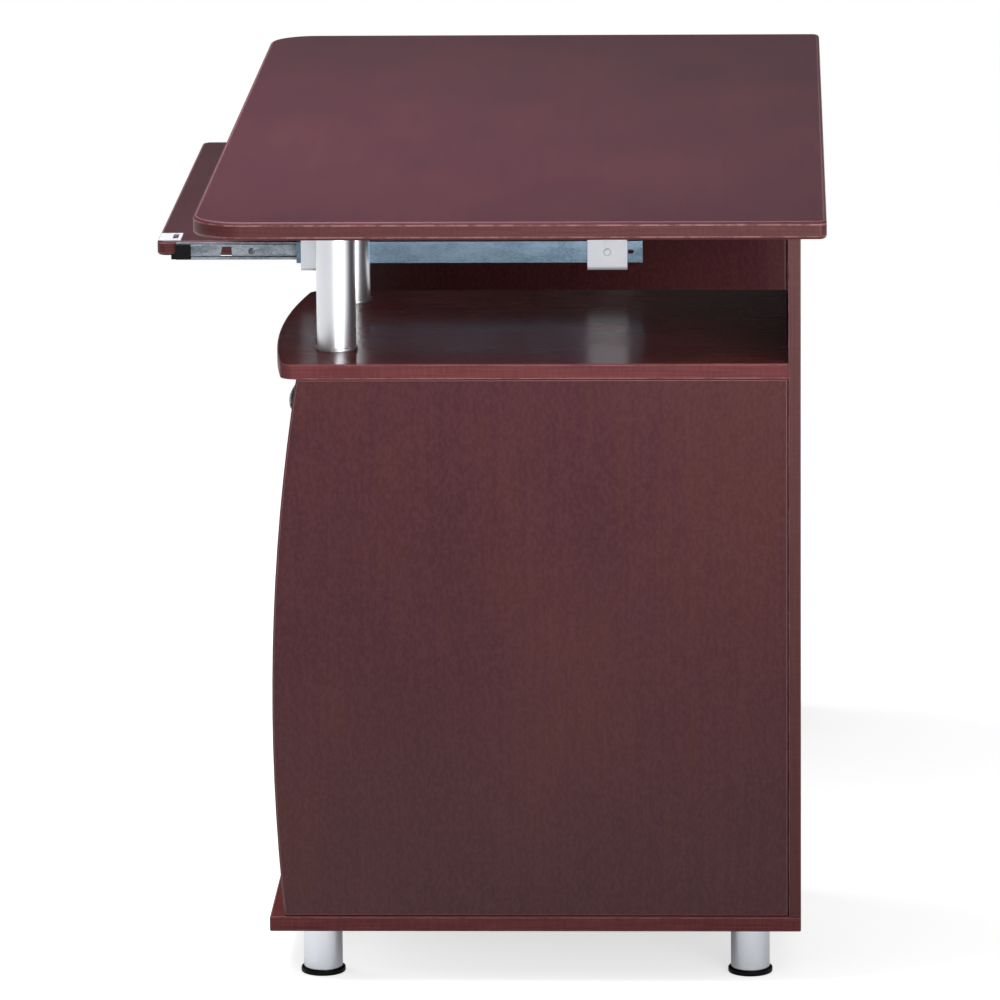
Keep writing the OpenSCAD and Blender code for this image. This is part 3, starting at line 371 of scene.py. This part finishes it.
BLUE_ZINC = linear(84, 103, 118), linear(112, 132, 148)
GREY_ZINC = linear(96, 103, 112), linear(146, 153, 160)
DARK_ZINC = linear(58, 60, 66), linear(96, 98, 104)
BRIGHT_ZINC = linear(170, 174, 178), linear(222, 226, 230)
dress(zinc("zinc_sheet", *BLUE_ZINC), "tray_runners", *RUNNERS, *RAILS, "door_strike")
dress(zinc("zinc_strip", *GREY_ZINC), "tray_rails")
dress(zinc("dark_zinc", *DARK_ZINC), "tray_rail_screws")
dress(zinc("bright_zinc", *BRIGHT_ZINC, rough=(0.35, 0.2)),
      "tray_ball_cages", *CAGES, "back_screws", "post_rods",
      "cam_fasteners", "hanging_file_bars", "door_pivot_pins")

BLACK = linear(5, 5, 6)
dress(moulded("black_plastic", BLACK, lighter(BLACK, 1.9), rough=(0.36, 0.5)),
      "tray_rail_ends", "door_pivot_bushes", "magnetic_catch", "foot_pads")

ease(FRONTS + BACKS + ["rear_rail", "cabinet_door"], width=0.0007)
ease(SIDES, width=0.0022, segments=3)
ease(PLATES, width=0.0015, segments=3)
ease(["desktop", "keyboard_tray"], width=0.0003)
ease(BOXES + ["dowels"], width=0.0004)
ease(["front_posts", "foot_tubes", "post_collars", "post_rods"], width=0.00029, board=False)
ease(["tray_brackets", "tray_corner_tab", "tray_runners", "tray_rails", "door_strike", "tray_rail_ends",
      "magnetic_catch", "hanging_file_bars"] + RUNNERS + RAILS, width=0.0002, segments=1, board=False)
ease(["foot_pads", "door_pivot_bushes", "door_pivot_pins", "bracket_screws", "tray_rail_screws",
      "back_screws", "cam_fasteners", "tray_ball_cages"] + CAGES + HANDLES + ["door_handle"],
     width=0.0, board=False)

# Studio: a pale floor, an even sky and three soft lamps
FLOOR_SIZE = 160.0
FLOOR_BOUNCE = 0.2
FLOOR_SHADE = 0.8
FLOOR_GLOW = 0.76

# Contact shadow: how far it reaches, and the share of the floor's glow that is left at its darkest
SHADOW_REACH = 0.3
SHADOW_SAMPLES = 8
LEFT_IN_MIRRORS = 0.2
LEFT_TO_CAMERA = 0.88


def gray(level):
    return (level, level, level, 1.0)


def pale_floor():
    """White where the camera or a mirror sees it, and dimmer for the light that it throws back."""
    material = bpy.data.materials.new("pale_floor")
    material.use_nodes = True
    g = Graph(material.node_tree)
    g.tree.nodes.clear()
    matt = g.node("BsdfDiffuse", Color=gray(FLOOR_BOUNCE))
    shade = g.node("BsdfDiffuse", Color=gray(FLOOR_SHADE))
    to_camera = g.node("LightPath", output="Is Camera Ray")
    least = g.span(to_camera, 0.0, 1.0, LEFT_IN_MIRRORS * FLOOR_GLOW, LEFT_TO_CAMERA * FLOOR_GLOW, "LINEAR")
    openness = g.node("AmbientOcclusion", output="AO", props={"samples": SHADOW_SAMPLES},
                      Distance=SHADOW_REACH)
    glow = g.node("Emission", Strength=g.span(openness, 0.0, 1.0, least, FLOOR_GLOW, "LINEAR"))
    white = g.node("AddShader", i0=shade, i1=glow)
    choice = g.node("MixShader", i0=g.seen_directly(), i1=matt, i2=white)
    end = g.tree.nodes.new("ShaderNodeOutputMaterial")
    g.put(end.inputs["Surface"], choice)
    return material


bpy.ops.mesh.primitive_plane_add(size=FLOOR_SIZE, location=(0, 0, 0))
floor = bpy.context.object
floor.name = "floor"
floor.data.materials.append(pale_floor())

# World: matt surfaces are lit from above, up to SKY. What the camera or a mirror sees is white at the
# horizon, a dim wall above it and a lighter ceiling. The ranges are heights of the direction looked in,
# from 0 at the horizon to 1 straight up.
SKY = 0.35
SKY_AT_HORIZON = 0.2 * SKY
SKY_RISES = 0.0, 0.8
WALL = 0.09
WALL_BEGINS = 0.0, 0.08
CEILING = 0.5
CEILING_BEGINS = 0.35, 0.7

world = bpy.data.worlds.new("studio")
bpy.context.scene.world = world
world.use_nodes = True
sky = Graph(world.node_tree)
height = sky.along(sky.node("TexCoord", output="Generated"), "Z")
wall = sky.span(height, *WALL_BEGINS, 1.0, WALL)
ceiling = sky.span(height, *CEILING_BEGINS, 0.0, CEILING - WALL)
lit = sky.span(height, *SKY_RISES, SKY_AT_HORIZON, SKY)
background = sky.tree.nodes["Background"]
sky.put(background.inputs["Strength"],
        sky.mix(sky.seen_directly(), lit, sky.math("ADD", wall, ceiling), kind="FLOAT"))
sky.put(background.inputs["Color"], gray(1.0))


def softbox(name, place, target, size, watts, spread, mirrored=True):
    """Soft lamp at a place, turned to a target, with its beam narrowed to a spread in degrees.

    One that isn't mirrored lights the surfaces but shows in none of their reflections."""
    data = bpy.data.lights.new(name, "AREA")
    data.shape = "RECTANGLE"
    data.size = size[0]
    data.size_y = size[1]
    data.energy = watts
    data.spread = math.radians(spread)
    made = bpy.data.objects.new(name, data)
    made.location = place
    made.rotation_euler = (Vector(place) - Vector(target)).to_track_quat("Z", "Y").to_euler()
    made.visible_glossy = mirrored
    bpy.context.scene.collection.objects.link(made)


softbox("key", (2.7, 0.95, 0.85), (0.5, 0.0, 0.97), size=(2.2, 0.8), watts=11.0, spread=64)
softbox("top", (0.25, -0.45, 1.9), (0.12, -0.12, 0.76), size=(1.3, 0.7), watts=9.5, spread=110)
softbox("front", (-1.4, -2.6, 0.9), (-0.1, 0.0, 0.35), size=(1.8, 0.9), watts=12.0, spread=90,
        mirrored=False)

# Camera at the photograph's viewing angle: place in metres, angles in radians
CAMERA_AT = (7.5371, 0.2890, 1.9790)
YAW = -0.03839
PITCH = 0.21173
ROLL = -0.00921
FOCAL_PIXELS = 7313.0
FRAME_PIXELS = 1000.0
SENSOR_MM = 36.0
FARTHEST = 200.0
level_ahead = Vector((-math.cos(YAW), math.sin(YAW), 0.0))
level_right = Vector((math.sin(YAW), math.cos(YAW), 0.0))
ahead = level_ahead * math.cos(PITCH) - Vector((0, 0, math.sin(PITCH)))
over = Vector((0, 0, math.cos(PITCH))) + level_ahead * math.sin(PITCH)
right = level_right * math.cos(ROLL) + over * math.sin(ROLL)
up = over * math.cos(ROLL) - level_right * math.sin(ROLL)
lens = bpy.data.cameras.new("camera")
lens.sensor_width = SENSOR_MM
lens.lens = FOCAL_PIXELS / FRAME_PIXELS * SENSOR_MM
lens.clip_end = FARTHEST
camera = bpy.data.objects.new("camera", lens)
camera.matrix_world = Matrix.Translation(CAMERA_AT) @ Matrix((right, up, -ahead)).transposed().to_4x4()
bpy.context.scene.collection.objects.link(camera)
bpy.context.scene.camera = camera

bpy.context.scene.view_settings.view_transform = "Standard"
